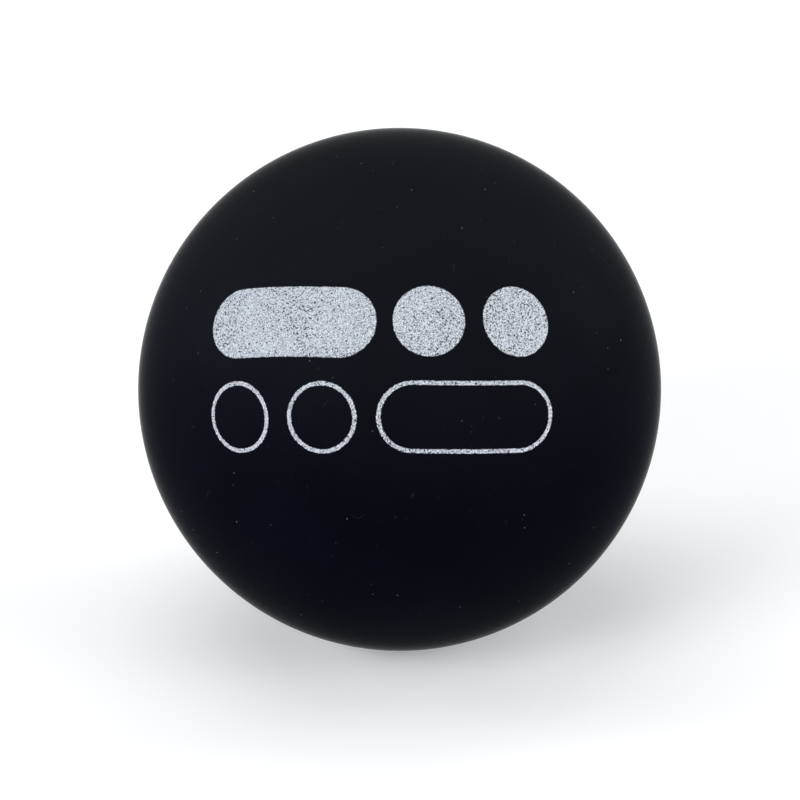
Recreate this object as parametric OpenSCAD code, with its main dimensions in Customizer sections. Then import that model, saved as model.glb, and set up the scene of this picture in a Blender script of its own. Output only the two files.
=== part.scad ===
// Hollow rubber squash ball: two moulded half-shells cemented rim to rim, with a printed mark.
// The origin is the centre of the ball and +Z is up. The front half faces -Y, turned upward.

/* [Ball] */
// Outside diameter of the ball
ball_d = 40; // [36:0.5:60]
// Thickness of the rubber wall
wall_t = 5.2; // [3:0.1:8]
// Degrees that the middle of the front half is turned up from level
turn_up = 25; // [0:1:90]

/* [Seam] */
// Thickness of the cement film between the two rims
cement_t = 0.15; // [0.1:0.05:0.6]
// Height and depth of the bevel round the outer edge of each rim
rim_bevel = 0.15; // [0.1:0.05:0.6]
// Depth of the cement line below the surface of the ball
cement_sink = 0.04; // [0.01:0.01:0.08]
// Height of the bead of cement that is squeezed out inside the ball
bead_h = 0.5; // [0.2:0.1:0.6]
// Width of that bead along the inside wall
bead_w = 1.8; // [1.2:0.1:3]

/* [Print] */
// Degrees from the middle of the front half up to the middle of the print
print_up = 4; // [0:1:30]
// Degrees from the middle of the front half to the left, to the middle of the print
print_left = 5; // [0:1:30]
// Thickness of the ink film
ink_t = 0.05; // [0.03:0.01:0.2]
// Height of each printed row, measured along the surface, and the diameter of the dots
row_h = 5.2; // [3:0.1:6]
// Space between the two rows
row_gap = 1.7; // [0.8:0.1:4]
// Length of the two bars, with their round ends
bar_l = 13; // [8:0.5:18]
// Space between neighbours in a row
mark_gap = 1.5; // [0.6:0.1:2.5]
// Width of the printed line round the outlined marks
line_w = 0.35; // [0.2:0.05:1]

/* [Hidden] */

rubber = "#15161a";
cement = "#26262a";
ink = "#c2c8cd";

ball_r = ball_d / 2;
bore_r = ball_r - wall_t;
rim_z = cement_t / 2;
// Overrun of the cutting shapes past what they cut
over = 1;
reach = ball_r + over;
// Sides of a full circle, so many that a flat dips into the ball by this share of the ink's thickness
dip_share = 0.08;
$fn = 4 * ceil(PI / 4 * sqrt(ball_r / (2 * dip_share * ink_t)));

// Degrees round the ball for a length measured along its surface
function turn(length) = length / ball_r * 180 / PI;

row_lat = turn((row_h + row_gap) / 2);
dot_pitch = row_h + mark_gap;
marks_w = bar_l + 2 * dot_pitch;
bar_lon = turn((marks_w - bar_l) / 2);
outer_lon = turn((marks_w - row_h) / 2);
inner_lon = outer_lon - turn(dot_pitch);

// Lays down what is made with the middle of the front half on +Z and the top of the print on +Y
module as_it_lies() {
    rotate([90 - turn_up, 0, 0]) children();
}

// Everything below a half-shell's rim, with the bevel round the outer edge
module rim_cut() {
    translate([0, 0, rim_z - reach])
        cylinder(r = reach, h = reach);
    rotate_extrude()
        polygon([
            [ball_r - rim_bevel, rim_z],
            [ball_r + over, rim_z + rim_bevel + over],
            [ball_r + over, rim_z - over],
            [ball_r - rim_bevel, rim_z - over]
        ]);
}

// One moulded cup with its rim at the middle plane
module half_shell() {
    difference() {
        sphere(r = ball_r);
        sphere(r = bore_r);
        rim_cut();
    }
}

module front_half_shell() {
    color(rubber) as_it_lies()
        half_shell();
}

module back_half_shell() {
    color(rubber) as_it_lies()
        mirror([0, 0, 1]) half_shell();
}

// Film between the rims, with the ridge that fills the bevels and the bead inside the ball
module seam_cement() {
    ridge_r = ball_r - cement_sink;
    ridge_z = rim_z + rim_bevel - cement_sink;
    root_r = ball_r - rim_bevel;
    film_r = bore_r - bead_h / 2;
    bead_r = (bead_w * bead_w / 4 + bead_h * bead_h) / (2 * bead_h);
    color(cement) as_it_lies() {
        rotate_extrude()
            polygon([
                [film_r, -rim_z],
                [root_r, -rim_z],
                [ridge_r, -ridge_z],
                [ridge_r, ridge_z],
                [root_r, rim_z],
                [film_r, rim_z]
            ]);
        intersection() {
            sphere(r = bore_r);
            rotate_extrude()
                translate([bore_r - bead_h + bead_r, 0]) circle(r = bead_r);
        }
    }
}

// Film of ink in the shape of a flat outline, at a longitude and latitude from the print's middle.
// The poles of the two spheres lie out to its sides, clear of the outline.
module print_at(lon, lat) {
    color(ink) as_it_lies() rotate([-lat - print_up, lon - print_left, 0]) intersection() {
        rotate([0, 90, 0]) difference() {
            sphere(r = ball_r + ink_t);
            sphere(r = ball_r);
        }
        linear_extrude(height = reach)
            children();
    }
}

// Outline of a bar with round ends
module bar(length, height) {
    side = length - height;
    square([side, height], center = true);
    for (end = [-1, 1])
        translate([end * side / 2, 0]) circle(d = height);
}

module printed_bar() {
    print_at(-bar_lon, row_lat)
        bar(bar_l, row_h);
}

module printed_dot_inner() {
    print_at(inner_lon, row_lat)
        circle(d = row_h);
}

module printed_dot_outer() {
    print_at(outer_lon, row_lat)
        circle(d = row_h);
}

module outlined_bar() {
    print_at(bar_lon, -row_lat) difference() {
        bar(bar_l, row_h);
        bar(bar_l - 2 * line_w, row_h - 2 * line_w);
    }
}

// Printed line round a dot
module dot_line() {
    difference() {
        circle(d = row_h);
        circle(d = row_h - 2 * line_w);
    }
}

module outlined_dot_inner() {
    print_at(-inner_lon, -row_lat)
        dot_line();
}

module outlined_dot_outer() {
    print_at(-outer_lon, -row_lat)
        dot_line();
}

front_half_shell();
back_half_shell();
seam_cement();
printed_bar();
printed_dot_inner();
printed_dot_outer();
outlined_bar();
outlined_dot_inner();
outlined_dot_outer();
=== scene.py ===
import math

import bpy
import numpy as np
from mathutils import Matrix, Vector


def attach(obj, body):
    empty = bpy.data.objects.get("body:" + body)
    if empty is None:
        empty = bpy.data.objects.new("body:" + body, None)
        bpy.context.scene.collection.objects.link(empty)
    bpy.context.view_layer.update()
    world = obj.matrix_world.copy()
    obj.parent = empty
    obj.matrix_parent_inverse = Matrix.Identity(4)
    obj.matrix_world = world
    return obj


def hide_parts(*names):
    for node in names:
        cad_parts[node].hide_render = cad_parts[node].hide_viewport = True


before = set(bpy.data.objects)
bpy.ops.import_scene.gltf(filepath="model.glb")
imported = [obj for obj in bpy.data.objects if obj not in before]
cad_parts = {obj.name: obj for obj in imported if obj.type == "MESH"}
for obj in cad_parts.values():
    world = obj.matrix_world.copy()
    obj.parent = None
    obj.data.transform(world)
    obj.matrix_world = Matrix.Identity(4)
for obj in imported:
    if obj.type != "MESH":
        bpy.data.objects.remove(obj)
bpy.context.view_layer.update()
mm = 0.001
print("stage: the packed part is loaded")

# The ball's radius in millimetres, and the degrees that its printed side is turned up from level
ball = {"radius": 20.0, "turnUp": 25.0}


# sRGB hex to the linear values that the renderer works in
def linear(colour):
    parts = [int(colour[i : i + 2], 16) / 255 for i in (1, 3, 5)]
    return [p / 12.92 if p <= 0.04045 else ((p + 0.055) / 1.055) ** 2.4 for p in parts] + [1.0]


# Scale of a pattern whose grains have a real size in millimetres
def scaleFor(size):
    return 1 / (size * mm)


# One node with its settings. An input takes a value, a socket, or the first output of a node.
def addNode(tree, kind, inputs=None, **settings):
    made = tree.nodes.new("ShaderNode" + kind)
    for name, value in settings.items():
        setattr(made, name, value)
    for name, value in (inputs or {}).items():
        source = value.outputs[0] if isinstance(value, bpy.types.Node) else value
        if isinstance(source, bpy.types.NodeSocket):
            tree.links.new(source, made.inputs[name])
        else:
            made.inputs[name].default_value = source
    return made


def newMaterial(name):
    material = bpy.data.materials.new(name)
    material.use_nodes = True
    material.node_tree.nodes.clear()
    return material, material.node_tree


# A Map Range node with this setting starts and ends softly
softly = {"interpolation_type": "SMOOTHSTEP"}
# A Mix node's sockets for colours, which have the same names as its sockets for numbers
mixShare, mixFirst, mixSecond, mixedColour = 0, 6, 7, 2

# Outer rubber, buffed with an abrasive wheel: a flat blue-black, with fine grit in the surface
# and faint cloudy patches. Its upper side is painted paler, as painted light from above, and a few
# pale grains and fibres of dust lie on it. Fuzz too fine to see gives a faint haze toward the edge.
# Like any rough black surface it only mirrors at a very flat angle, so its gloss is far fainter
# than that of smooth rubber and leaves a thin pale rim.
# Sizes are in millimetres. A pixel of the picture is 0.08 wide, so no grit is drawn finer.
rubber = {
    "dark": "#05060d",
    "pale": "#080a13",
    "cloud": 7.0,
    "cloudDetail": 3.0,
    "grit": 0.16,
    "gritDetail": 2.0,
    "toneLimits": {"From Min": 0.3, "From Max": 0.7},
    "bumpDetail": 4.0,
    "bumpRoughness": 0.6,
    "bumpStrength": 0.5,
    "bumpHeight": 0.02,
    # Painted light from above: the rubber is mixed toward the next colour the higher a place lies,
    # from the height after it up to the top, by at most the share after that
    "film": "#89938e",
    "paintedTopLightFrom": -0.2,  # in radii above the ball's middle
    "paintedTopLightShow": 0.0185,
    "dust": "#797d80",
    "dustSpacing": 0.9,
    "dustInner": 0.02,
    "dustOuter": 0.07,
    "dustRarity": 4.0,
    "fibre": 2.5,
    "fibreSpacing": 1.3,
    "fibreLevel": 0.5,
    "fibreLimits": {"From Min": 0.003, "From Max": 0.01, "To Min": 0.035, "To Max": 0.0},
    "fibreKept": {"From Min": 0.72, "From Max": 0.78},
    "gloss": 0.0007,
    "glossRoughness": 0.15,
    "sheen": 0.014,
    "sheenRoughness": 0.45,
    "sheenTint": "#e8fbf0",
}


# Two blacks, mixed by the mean of the broad clouds and the fine grit
def rubberTone(tree, place):
    shades = []
    for size, detail in (("cloud", "cloudDetail"), ("grit", "gritDetail")):
        grains = {"Vector": place, "Scale": scaleFor(rubber[size]), "Detail": rubber[detail]}
        noise = addNode(tree, "TexNoise", grains)
        shades.append(addNode(tree, "MapRange", {"Value": noise, **rubber["toneLimits"]}, **softly))
    both = addNode(tree, "Math", {0: shades[0], 1: shades[1]}, operation="ADD")
    mean = addNode(tree, "Math", {0: both, 1: len(shades)}, operation="DIVIDE")
    colours = {mixShare: mean, mixFirst: linear(rubber["dark"]), mixSecond: linear(rubber["pale"])}
    return addNode(tree, "Mix", colours, data_type="RGBA").outputs[mixedColour]


# Grains of dust: a round spot in each cell of a pattern, most of them too faint to see
def dustGrains(tree, place):
    spacing = rubber["dustSpacing"]
    cells = addNode(tree, "TexVoronoi", {"Vector": place, "Scale": scaleFor(spacing)})
    spot = {"From Min": rubber["dustInner"] / spacing, "From Max": rubber["dustOuter"] / spacing}
    fading = {"Value": cells.outputs["Distance"], **spot, "To Min": 1.0, "To Max": 0.0}
    near = addNode(tree, "MapRange", fading, **softly)
    chance = addNode(tree, "SeparateColor", {"Color": cells.outputs["Color"]})
    paleness = addNode(tree, "Math", {0: chance, 1: rubber["dustRarity"]}, operation="POWER")
    return addNode(tree, "Math", {0: near, 1: paleness}, operation="MULTIPLY")


# Short fibres: thin level lines of one noise, kept only at the peaks of another
def dustFibres(tree, place):
    bends, peaks = (
        addNode(tree, "TexNoise", {"Vector": place, "Scale": scaleFor(rubber[size]), "Detail": 0.0})
        for size in ("fibre", "fibreSpacing")
    )
    level = addNode(tree, "Math", {0: bends, 1: rubber["fibreLevel"]}, operation="SUBTRACT")
    aside = addNode(tree, "Math", {0: level}, operation="ABSOLUTE")
    thin = addNode(tree, "MapRange", {"Value": aside, **rubber["fibreLimits"]}, **softly)
    kept = addNode(tree, "MapRange", {"Value": peaks, **rubber["fibreKept"]}, **softly)
    return addNode(tree, "Math", {0: thin, 1: kept}, operation="MULTIPLY")


# The two blacks, a paler colour mixed in more the higher a place lies as painted light from above,
# and loose dust
def rubberColourWithTopLight(tree, place):
    radius = ball["radius"] * mm
    height = addNode(tree, "SeparateXYZ", {"Vector": place}).outputs["Z"]
    rise = {"From Min": rubber["paintedTopLightFrom"] * radius, "From Max": radius}
    shown = {"To Min": 0.0, "To Max": rubber["paintedTopLightShow"]}
    # Painted light from above: the rubber turns toward the pale film colour the higher a place lies
    paintedTopLight = addNode(tree, "MapRange", {"Value": height, **rise, **shown}, **softly)
    film = {mixShare: paintedTopLight, mixFirst: rubberTone(tree, place), mixSecond: linear(rubber["film"])}
    rubberToneWithTopLight = addNode(tree, "Mix", film, data_type="RGBA").outputs[mixedColour]
    loose = {0: dustGrains(tree, place), 1: dustFibres(tree, place)}
    share = addNode(tree, "Math", loose, operation="MAXIMUM")
    dust = {mixShare: share, mixFirst: rubberToneWithTopLight, mixSecond: linear(rubber["dust"])}
    return addNode(tree, "Mix", dust, data_type="RGBA").outputs[mixedColour]


def makeBuffedRubber():
    material, tree = newMaterial("buffedButylRubber")
    place = addNode(tree, "TexCoord").outputs["Object"]
    grit = {"Vector": place, "Scale": scaleFor(rubber["grit"])}
    fine = {"Detail": rubber["bumpDetail"], "Roughness": rubber["bumpRoughness"]}
    noise = addNode(tree, "TexNoise", {**grit, **fine})
    relief = {"Strength": rubber["bumpStrength"], "Distance": rubber["bumpHeight"] * mm}
    finish = {
        "Base Color": rubberColourWithTopLight(tree, place),
        "Normal": addNode(tree, "Bump", {"Height": noise, **relief}),
        "Roughness": rubber["glossRoughness"],
        "Specular IOR Level": rubber["gloss"],
        "Sheen Weight": rubber["sheen"],
        "Sheen Roughness": rubber["sheenRoughness"],
        "Sheen Tint": linear(rubber["sheenTint"]),
    }
    addNode(tree, "OutputMaterial", {"Surface": addNode(tree, "BsdfPrincipled", finish)})
    return material


# Inside rubber, as it left the polished mould: smoother and a little shinier
insideRubber = {
    "colour": "#121318",
    "grain": 1.5,
    "bumpStrength": 0.2,
    "bumpHeight": 0.05,
    "roughness": 0.42,
    "gloss": 0.35,
}
# Rubber cement, brushed on and pressed out of the joint: nearly as black as the buffed rubber,
# dull, and a little lumpy
cement = {
    "colour": "#0b0b0e",
    "grain": 0.5,
    "bumpStrength": 0.4,
    "bumpHeight": 0.03,
    "roughness": 0.6,
    "gloss": 0.02,
}


# A material of one colour, on a surface that rises and falls with its grain
def makeEvenRubber(name, look):
    material, tree = newMaterial(name)
    place = addNode(tree, "TexCoord").outputs["Object"]
    noise = addNode(tree, "TexNoise", {"Vector": place, "Scale": scaleFor(look["grain"])})
    relief = {"Strength": look["bumpStrength"], "Distance": look["bumpHeight"] * mm}
    finish = {
        "Base Color": linear(look["colour"]),
        "Normal": addNode(tree, "Bump", {"Height": noise, **relief}),
        "Roughness": look["roughness"],
        "Specular IOR Level": look["gloss"],
    }
    addNode(tree, "OutputMaterial", {"Surface": addNode(tree, "BsdfPrincipled", finish)})
    return material


# Silver ink printed with a soft pad: a pale grey that didn't take on every grain of the rubber,
# so that dark specks show through and the edges are a little ragged. Its bright flakes are painted
# fewer at the left end of the print and more at the right: painted shade on the left, painted light
# on the right.
ink = {
    "bright": "#d0d7e0",
    "dull": "#878d98",
    "leftPaintedShade": 0.6,
    "rightPaintedLight": 1.4,
    # Each noise's size and detail, and the limits between which it takes its part in the look
    "grains": {"speck": (0.13, 1.0), "patch": (6.0, 1.0), "rag": (0.15, 2.0), "flake": (0.09, 1.0)},
    "limits": {
        "patch": {"From Min": 0.3, "From Max": 0.7, "To Min": -0.03, "To Max": 0.03},
        "rag": {"From Min": 0.3, "From Max": 0.7, "To Min": -0.035, "To Max": 0.025},
        "flake": {"From Min": 0.35, "From Max": 0.65},
    },
    "wholeLimits": {"From Min": 0.57, "From Max": 0.67, "To Min": 1.0, "To Max": 0.05},
    "edgeLimits": {"From Min": 0.0, "From Max": 0.05},
    "bumpStrength": 0.3,
    "bumpHeight": 0.01,
    "roughness": 0.7,
    "gloss": 0.2,
}


def makeInk():
    material, tree = newMaterial("padPrintedSilverInk")
    place = addNode(tree, "TexCoord").outputs["Object"]
    noise = {}
    for part, (size, detail) in ink["grains"].items():
        grains = {"Vector": place, "Scale": scaleFor(size), "Detail": detail}
        noise[part] = addNode(tree, "TexNoise", grains)
    for part, limits in ink["limits"].items():
        noise[part] = addNode(tree, "MapRange", {"Value": noise[part], **limits}, **softly)
    # Specks of bare rubber at the peaks of a fine noise, more of them in some patches
    worn = addNode(tree, "Math", {0: noise["speck"], 1: noise["patch"]}, operation="ADD")
    whole = addNode(tree, "MapRange", {"Value": worn, **ink["wholeLimits"]}, **softly)
    # Ragged edge: the millimetres in from the outline, a little more or less by a noise
    inward = addNode(tree, "Attribute", attribute_name="edgeDistance").outputs["Fac"]
    ragged = addNode(tree, "Math", {0: inward, 1: noise["rag"]}, operation="ADD")
    within = addNode(tree, "MapRange", {"Value": ragged, **ink["edgeLimits"]}, **softly)
    covered = addNode(tree, "Math", {0: whole, 1: within}, operation="MULTIPLY")
    # Bright flakes of metal, painted fewer toward the ball's left side and more toward its right:
    # painted shade and light
    across = addNode(tree, "SeparateXYZ", {"Vector": place}).outputs["X"]
    sides = {"From Min": -ball["radius"] * mm, "From Max": ball["radius"] * mm}
    paintedShadeAndLight = {"To Min": ink["leftPaintedShade"], "To Max": ink["rightPaintedLight"]}
    paintedSideLight = addNode(tree, "MapRange", {"Value": across, **sides, **paintedShadeAndLight}, **softly)
    shown = addNode(tree, "Math", {0: noise["flake"], 1: paintedSideLight}, operation="MULTIPLY")
    flakes = {mixShare: shown, mixFirst: linear(ink["dull"]), mixSecond: linear(ink["bright"])}
    silver = addNode(tree, "Mix", flakes, data_type="RGBA").outputs[mixedColour]
    layers = {mixShare: covered, mixFirst: rubberColourWithTopLight(tree, place), mixSecond: silver}
    relief = {"Strength": ink["bumpStrength"], "Distance": ink["bumpHeight"] * mm}
    finish = {
        "Base Color": addNode(tree, "Mix", layers, data_type="RGBA").outputs[mixedColour],
        "Normal": addNode(tree, "Bump", {"Height": covered, **relief}),
        "Roughness": ink["roughness"],
        "Specular IOR Level": ink["gloss"],
    }
    addNode(tree, "OutputMaterial", {"Surface": addNode(tree, "BsdfPrincipled", finish)})
    return material


buffedRubber = makeBuffedRubber()
mouldedRubber = makeEvenRubber("mouldedButylRubber", insideRubber)
pressedCement = makeEvenRubber("pressedRubberCement", cement)
silverInk = makeInk()
print("stage: the materials are made")

sharpFrom = 35.0  # degrees between two faces, past which their edge shades sharp


# Mesh object from points and faces, smooth except at its sharp edges
def makePiece(name, points, quads, triangles, materials):
    mesh = bpy.data.meshes.new(name)
    corners = np.concatenate([np.ravel(quads), np.ravel(triangles)]).astype(np.int32)
    totals = np.array([4] * len(quads) + [3] * len(triangles), np.int32)
    mesh.vertices.add(len(points))
    mesh.vertices.foreach_set("co", np.ravel(points).astype(np.float32))
    mesh.loops.add(len(corners))
    mesh.loops.foreach_set("vertex_index", corners)
    mesh.polygons.add(len(totals))
    mesh.polygons.foreach_set("loop_start", (np.cumsum(totals) - totals).astype(np.int32))
    mesh.update(calc_edges=True)
    mesh.shade_smooth()
    mesh.set_sharp_from_angle(angle=math.radians(sharpFrom))
    for material in materials:
        mesh.materials.append(material)
    piece = bpy.data.objects.new(name, mesh)
    bpy.context.scene.collection.objects.link(piece)
    return piece


# Points in millimetres with the printed side on +Z, tipped over about the X axis to where the
# ball lies, in metres
def asItLies(points):
    turn = np.array(Matrix.Rotation(math.radians(90 - ball["turnUp"]), 3, "X"))
    return points @ turn.T * mm


# Quads between neighbouring rows of points, where each row runs right round, and between the
# last row and the first one where the rows close up too
def ringQuads(rows, around, closed=False):
    row = np.arange(rows if closed else rows - 1)[:, None]
    column = np.arange(around)[None, :]
    above = (row + 1) % rows
    beside = (column + 1) % around
    corners = [(row, column), (row, beside), (above, beside), (above, column)]
    numbers = [r * around + c for r, c in corners]
    return np.stack(np.broadcast_arrays(*numbers), -1).reshape(-1, 4)


# A profile carried round the pole: x is its radius times the cosine of the angle, y is its
# radius times the sine, and z is its height
def turned(radii, heights, around):
    angle = np.arange(around) / around * 2 * math.pi
    rows = np.broadcast_to(radii, (len(heights), around))
    level = np.broadcast_to(heights[:, None], rows.shape)
    return np.stack([rows * np.cos(angle), rows * np.sin(angle), level], -1)


# Half-shell: its wall in millimetres, and the rows and columns of its skin. Rows are closer
# together between two places near the rim, given in degrees above it.
shell = {
    "wall": 5.2,
    "around": 320,
    "domeRows": 110,
    "fineFrom": 6.0,
    "fineTo": 1.0,
    "fineRows": 12,
    "cupRows": 55,
}
# Seam in millimetres: the film between the rims, the bevels and the cement in them, and the bead.
# The cement's ridge has a round crown, and is a little wavy all round.
seam = {
    "film": 0.15,
    "bevel": 0.15,
    "sink": 0.04,
    "beadHeight": 0.5,
    "beadWidth": 1.8,
    "beadRows": 15,
    "bevelDip": 0.01,  # of the bevel's upper edge, below the dome
    "softEdge": 0.05,  # from the last row of the dome to the bevel
    "ridgeRows": 7,
    "crown": 0.02,
    "ripple": 0.015,
    "rippleLimit": 2.0,
    "fewestWaves": 9,
    "mostWaves": 60,
    "waveStep": 4,
    "seed": 7,
}


# Closed skin of one half, as a profile turned round the pole. From the pole to the rim it is an
# arc, radius R cos(t) at height R sin(t), then the bevel and the flat rim, and the bore's arc back.
def halfShell(name, side):
    outer, bore, around = ball["radius"], ball["radius"] - shell["wall"], shell["around"]
    half = seam["film"] / 2
    bevelTop = math.asin((half + seam["bevel"]) / outer)
    coarse = np.linspace(90, shell["fineFrom"], shell["domeRows"])[1:-1]
    fine = np.linspace(shell["fineFrom"], shell["fineTo"], shell["fineRows"])
    dome = np.radians(np.concatenate([coarse, fine]))
    dome = dome[dome > bevelTop + seam["softEdge"] / outer]
    cup = np.linspace(math.asin(half / bore), math.pi / 2, shell["cupRows"])[:-1]
    bevelR = [outer * math.cos(bevelTop) - seam["bevelDip"], outer - seam["bevel"]]
    bevelZ = [outer * math.sin(bevelTop), half]
    r = np.concatenate([outer * np.cos(dome), bevelR, bore * np.cos(cup)])
    z = np.concatenate([outer * np.sin(dome), bevelZ, bore * np.sin(cup)])
    rows = len(r)
    skin = turned(r[:, None], z, around).reshape(-1, 3)
    points = np.concatenate([skin, [[0, 0, outer], [0, 0, bore]]])
    column = np.arange(around)
    beside = (column + 1) % around
    last = (rows - 1) * around
    top = np.stack([np.full(around, rows * around), column, beside], -1)
    bottom = np.stack([np.full(around, rows * around + 1), last + beside, last + column], -1)
    quads, triangles = ringQuads(rows, around)[:, ::-1], np.concatenate([top, bottom])
    if side < 0:
        points = points * [1, 1, -1]
        quads, triangles = quads[:, ::-1], triangles[:, ::-1]
    piece = makePiece(name, asItLies(points), quads, triangles, [buffedRubber, mouldedRubber])
    insideRows = np.repeat(np.arange(rows - 1) > len(dome), around)
    slots = np.concatenate([insideRows, np.zeros(around, bool), np.ones(around, bool)])
    piece.data.polygons.foreach_set("material_index", slots.astype(np.int32))
    return piece


# Ring of cement, as a closed profile turned round the pole: the ridge is a flat parabola, the
# film has level sides, and the bead is an arc of a circle
def cementRing(name):
    outer, bore, around = ball["radius"], ball["radius"] - shell["wall"], shell["around"]
    half = seam["film"] / 2
    ridge = half + seam["bevel"] - seam["sink"]
    beadRadius = (seam["beadWidth"] ** 2 / 4 + seam["beadHeight"] ** 2) / (2 * seam["beadHeight"])
    sweep = math.asin(seam["beadWidth"] / 2 / beadRadius)
    bead = np.linspace(sweep, -sweep, seam["beadRows"])
    beadR = bore - seam["beadHeight"] + beadRadius - beadRadius * np.cos(bead)
    ridgeZ = np.linspace(-ridge, ridge, seam["ridgeRows"])
    ridgeR = outer - seam["sink"] - seam["crown"] * (ridgeZ / ridge) ** 2
    root = outer - seam["bevel"]
    inner = math.sqrt(bore**2 - half**2)
    r = np.concatenate([ridgeR, [root, inner], beadR, [inner, root]])
    z = np.concatenate([ridgeZ, [half, half], beadRadius * np.sin(bead), [-half, -half]])
    # The ridge rises and falls along the seam by a sum of sines, each lower the more waves it has
    rng = np.random.default_rng(seam["seed"])
    waves = np.arange(seam["fewestWaves"], seam["mostWaves"], seam["waveStep"])
    starts = rng.uniform(0, 2 * math.pi, len(waves))
    angle = np.arange(around) / around * 2 * math.pi
    ripple = np.sin(np.outer(angle, waves) + starts) @ (seam["fewestWaves"] / waves)
    rise = seam["ripple"] * np.clip(ripple / seam["rippleLimit"], -1, 1)
    onRidge = np.arange(len(r)) < len(ridgeR)
    points = turned(r[:, None] + onRidge[:, None] * rise[None, :], z, around).reshape(-1, 3)
    return makePiece(name, asItLies(points), ringQuads(len(r), around, True), [], [pressedCement])


# Print in millimetres and degrees, in a film whose edge starts below the rubber's surface. The
# film rises over a shoulder: ways in from its edge, and the share of its thickness there.
mark = {
    "up": 4.0,
    "left": 5.0,
    "rowHeight": 5.2,
    "rowGap": 1.7,
    "barLength": 13.0,
    "gap": 1.5,
    "line": 0.35,
    "film": 0.03,
    "root": 0.01,
    "shoulder": (0.0, 0.01, 0.03, 0.06),
    "rise": (0.5, 0.8, 0.95, 1.0),
    "flatFrom": 0.25,  # in from the edge
    "flatTo": 0.1,  # from the middle line
    "flatRows": 12,
    "quarterPoints": 24,
    "sidePoints": 60,
}


# Rows of points round a bar with round ends, at each offset from its middle line. Each point of
# the flat outline is raised onto a sphere: z is the square root of radius^2 - x^2 - y^2.
def barRows(straight, offsets, radii):
    quarter, side = mark["quarterPoints"], (mark["sidePoints"] if straight else 0)
    # From and to in degrees, from and to in shares of the straight length, and points
    stretches = [
        (0, 90, 0.5, 0.5, quarter),
        (90, 90, 0.5, -0.5, side),
        (90, 270, -0.5, -0.5, 2 * quarter),
        (270, 270, -0.5, 0.5, side),
        (270, 360, 0.5, 0.5, quarter),
    ]
    turns = [np.linspace(s[0], s[1], s[4], endpoint=False) for s in stretches]
    along = [np.linspace(s[2], s[3], s[4], endpoint=False) for s in stretches]
    angle = np.radians(np.concatenate(turns))
    x = np.concatenate(along) * straight + np.outer(offsets, np.cos(angle))
    y = np.outer(offsets, np.sin(angle))
    z = np.sqrt(radii[:, None] ** 2 - x**2 - y**2)
    return np.stack([x, y, z], -1)


# One printed mark, a thin closed film on the ball. A solid one has rows from its middle line
# out under the film, up the shoulder of its edge and back over the top. An outlined one has
# rows up the outer edge of its line, over the top and down the inner edge.
def printedMark(name, longitude, latitude, length, outlined):
    edge, film, root = mark["rowHeight"] / 2, mark["film"], mark["root"]
    inner, middle = edge - mark["line"], edge - mark["line"] / 2
    shoulder, rise = np.array(mark["shoulder"]), np.array(mark["rise"]) * film
    if outlined:
        topRows = [edge - shoulder, [middle], inner + shoulder[::-1]]
        offsets = np.concatenate([[edge], *topRows, [inner]])
        heights = np.concatenate([[-root], rise, [film], rise[::-1], [-root]])
    else:
        flat = np.linspace(edge - mark["flatFrom"], mark["flatTo"], mark["flatRows"])
        offsets = np.concatenate([flat[::-1], [edge], edge - shoulder, flat])
        heights = np.concatenate([np.full(len(flat) + 1, -root), rise, np.full(len(flat), film)])
    rows = barRows(length - mark["rowHeight"], offsets, ball["radius"] + heights)
    count, around = rows.shape[:2]
    quads, triangles = ringQuads(count, around, outlined), np.zeros((0, 3), int)
    if not outlined:
        # Strips across the middle line close the first row and the last one
        half, last = around // 2, (count - 1) * around
        strip = np.arange(1, half - 1)
        below = np.stack([strip, strip + 1, around - strip - 1, around - strip], -1)
        tips = np.array([[0, 1, around - 1], [half, half + 1, half - 1]])
        quads = np.concatenate([quads, below, last + below[:, ::-1]])
        triangles = np.concatenate([tips, last + tips[:, ::-1]])
    aside = Matrix.Rotation(math.radians(longitude - mark["left"]), 3, "Y")
    tilt = np.array(aside @ Matrix.Rotation(math.radians(-latitude - mark["up"]), 3, "X"))
    points = asItLies(rows.reshape(-1, 3) @ tilt.T)
    piece = makePiece(name, points, quads, triangles, [silverInk])
    inward = edge - offsets
    if outlined:
        inward = np.minimum(inward, offsets - inner)
    distance = piece.data.attributes.new("edgeDistance", "FLOAT", "POINT")
    distance.data.foreach_set("value", np.repeat(inward, around).astype(np.float32))
    return piece


# Degrees round the ball for a length along its surface
def degreesRound(length):
    return math.degrees(length / ball["radius"])


bar, dot = mark["barLength"], mark["rowHeight"]
pitch = dot + mark["gap"]
marksWidth = bar + 2 * pitch
upper = degreesRound((dot + mark["rowGap"]) / 2)
barAt = degreesRound((marksWidth - bar) / 2)
outerAt = degreesRound((marksWidth - dot) / 2)
innerAt = outerAt - degreesRound(pitch)
# Each mark's film and its node, degrees to the right and up, length, and whether it is outlined
marks = [
    ("printedBarFilm", "printed_bar", -barAt, upper, bar, False),
    ("printedDotInnerFilm", "printed_dot_inner", innerAt, upper, dot, False),
    ("printedDotOuterFilm", "printed_dot_outer", outerAt, upper, dot, False),
    ("outlinedBarFilm", "outlined_bar", barAt, -upper, bar, True),
    ("outlinedDotInnerFilm", "outlined_dot_inner", -innerAt, -upper, dot, True),
    ("outlinedDotOuterFilm", "outlined_dot_outer", -outerAt, -upper, dot, True),
]
pieces = [
    (halfShell("frontHalfSkin", 1), "front_half_shell", "rubber"),
    (halfShell("backHalfSkin", -1), "back_half_shell", "rubber"),
    (cementRing("cementSkin"), "seam_cement", "cement"),
]
for filmName, nodeName, longitude, latitude, length, outlined in marks:
    film = printedMark(filmName, longitude, latitude, length, outlined)
    pieces.append((film, nodeName, "ink"))
for piece, nodeName, slotName in pieces:
    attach(piece, "root")
    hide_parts(nodeName)
print("stage: the skins and the print are made")


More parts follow.
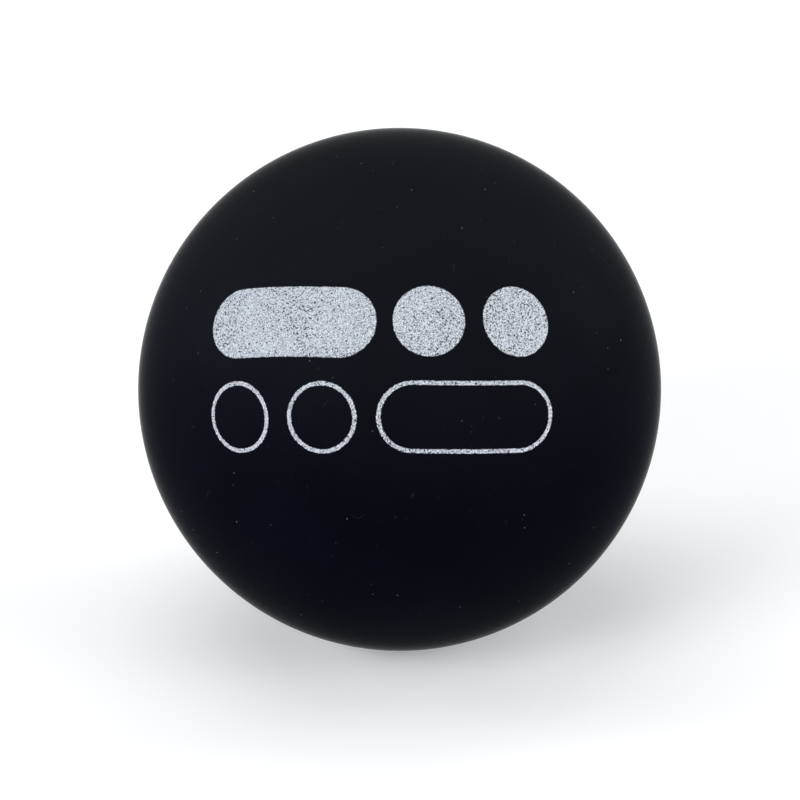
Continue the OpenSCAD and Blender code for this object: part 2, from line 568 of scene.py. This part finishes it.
# One for what the camera sees straight, in a gloss or through glass, else nothing
def seenShare(tree):
    path = addNode(tree, "LightPath").outputs
    straight = {0: path["Is Camera Ray"], 1: path["Is Glossy Ray"]}
    either = addNode(tree, "Math", straight, operation="MAXIMUM")
    return addNode(tree, "Math", {0: either, 1: path["Is Transmission Ray"]}, operation="MAXIMUM")


# White ground, in metres, that fades into the white behind it from one distance to another
ground = {
    "side": 1.6,
    "colour": "#f2f2f3",
    "glow": 0.165,
    "glowColour": "#f7fbff",
    "fade": {"From Min": 0.14, "From Max": 0.3},
}
white = linear("#ffffff")


def makeGround():
    reach, low = ground["side"] / 2, -ball["radius"] * mm
    corners = [(x * reach, y * reach, low) for x, y in ((-1, -1), (1, -1), (1, 1), (-1, 1))]
    mesh = bpy.data.meshes.new("ground")
    mesh.from_pydata(corners, [], [(0, 1, 2, 3)])
    sheet = bpy.data.objects.new("ground", mesh)
    bpy.context.scene.collection.objects.link(sheet)
    material, tree = newMaterial("whiteAcrylicGround")
    seen = seenShare(tree)
    glow = addNode(tree, "Math", {0: seen, 1: ground["glow"]}, operation="MULTIPLY")
    lit = {
        0: addNode(tree, "BsdfDiffuse", {"Color": linear(ground["colour"])}),
        1: addNode(tree, "Emission", {"Color": linear(ground["glowColour"]), "Strength": glow}),
    }
    place = addNode(tree, "TexCoord").outputs["Object"]
    away = addNode(tree, "VectorMath", {0: place}, operation="LENGTH").outputs["Value"]
    far = addNode(tree, "MapRange", {"Value": away, **ground["fade"]}, **softly)
    faded = {
        0: addNode(tree, "Math", {0: far, 1: seen}, operation="MULTIPLY"),
        1: addNode(tree, "AddShader", lit),
        2: addNode(tree, "Emission", {"Color": white, "Strength": 1.0}),
    }
    addNode(tree, "OutputMaterial", {"Surface": addNode(tree, "MixShader", faded)})
    mesh.materials.append(material)


# Faint light from all round, and the way from the ball to each softbox in metres
studio = {"dome": 0.12, "reach": 0.45}


# The world lights the ball faintly, and the camera sees it as white
def makeWorld():
    world = bpy.data.worlds.new("studio")
    bpy.context.scene.world = world
    world.use_nodes = True
    tree = world.node_tree
    tree.nodes.clear()
    sky = {
        0: seenShare(tree),
        1: addNode(tree, "Background", {"Color": white, "Strength": studio["dome"]}),
        2: addNode(tree, "Background", {"Color": white, "Strength": 1.0}),
    }
    addNode(tree, "OutputWorld", {"Surface": addNode(tree, "MixShader", sky)})


# Way from the ball to a place seen at some degrees round to the right and up
def direction(azimuth, elevation):
    azimuth, elevation = math.radians(azimuth), math.radians(elevation)
    level = math.cos(elevation)
    return Vector((math.sin(azimuth) * level, -math.cos(azimuth) * level, math.sin(elevation)))


# Softboxes: degrees round to the right and up, side in metres, watts, and whether a gloss shows
# them. The one behind the ball would leave a pale crescent on its rim.
softboxes = {
    "frontLeftSoftbox": (318, 22, 0.2, 1.41, True),
    "leftSoftbox": (264, 18, 0.22, 0.92, True),
    "rightSoftbox": (106, 18, 0.19, 0.66, True),
    "frontRightSoftbox": (65, 17, 0.2, 0.95, True),
    "backRightSoftbox": (143, 20, 0.39, 0.82, False),
    "topSoftbox": (241, 76, 0.42, 0.74, True),
}


# Soft square light that points at the ball
def addSoftbox(name, azimuth, elevation, side, power, mirrored):
    data = bpy.data.lights.new(name, "AREA")
    data.shape, data.size, data.energy = "SQUARE", side, power
    light = bpy.data.objects.new(name, data)
    light.location = direction(azimuth, elevation) * studio["reach"]
    light.rotation_mode = "QUATERNION"
    light.rotation_quaternion = direction(azimuth, elevation).to_track_quat("Z", "Y")
    light.visible_glossy = mirrored
    bpy.context.scene.collection.objects.link(light)


# Camera: degrees round and up, distance in radii of the ball, and where the ball lands in the
# picture, as its radius and the place of its middle, in pixels from the picture's middle
shot = {
    "azimuth": 0.0,
    "elevation": 25.0,
    "radiiAway": 12,
    "pictureWidth": 800,
    "ballRadius": 261.6,
    "across": -0.4,
    "down": -10.6,
    "sensor": 36.0,
    "clipStart": 0.01,
    "clipEnd": 10.0,
}


def makeCamera():
    back = direction(shot["azimuth"], shot["elevation"])
    turn = back.to_track_quat("Z", "Y")
    right, up = turn @ Vector((1, 0, 0)), turn @ Vector((0, 1, 0))
    radius = ball["radius"] * mm
    distance = shot["radiiAway"] * radius
    share = {name: shot[name] / shot["pictureWidth"] for name in ("ballRadius", "across", "down")}
    spread = math.tan(math.asin(radius / distance)) / share["ballRadius"]
    width = spread * distance
    data = bpy.data.cameras.new("camera")
    data.sensor_width = shot["sensor"]
    data.lens = shot["sensor"] / spread
    data.clip_start, data.clip_end = shot["clipStart"], shot["clipEnd"]
    camera = bpy.data.objects.new("camera", data)
    camera.location = back * distance - right * share["across"] * width + up * share["down"] * width
    camera.rotation_mode = "QUATERNION"
    camera.rotation_quaternion = turn
    bpy.context.scene.collection.objects.link(camera)
    bpy.context.scene.camera = camera


makeGround()
makeWorld()
for lightName, setting in softboxes.items():
    addSoftbox(lightName, *setting)
makeCamera()
bpy.context.scene.view_settings.view_transform = "Standard"
print("stage: the ground, light and camera are placed")
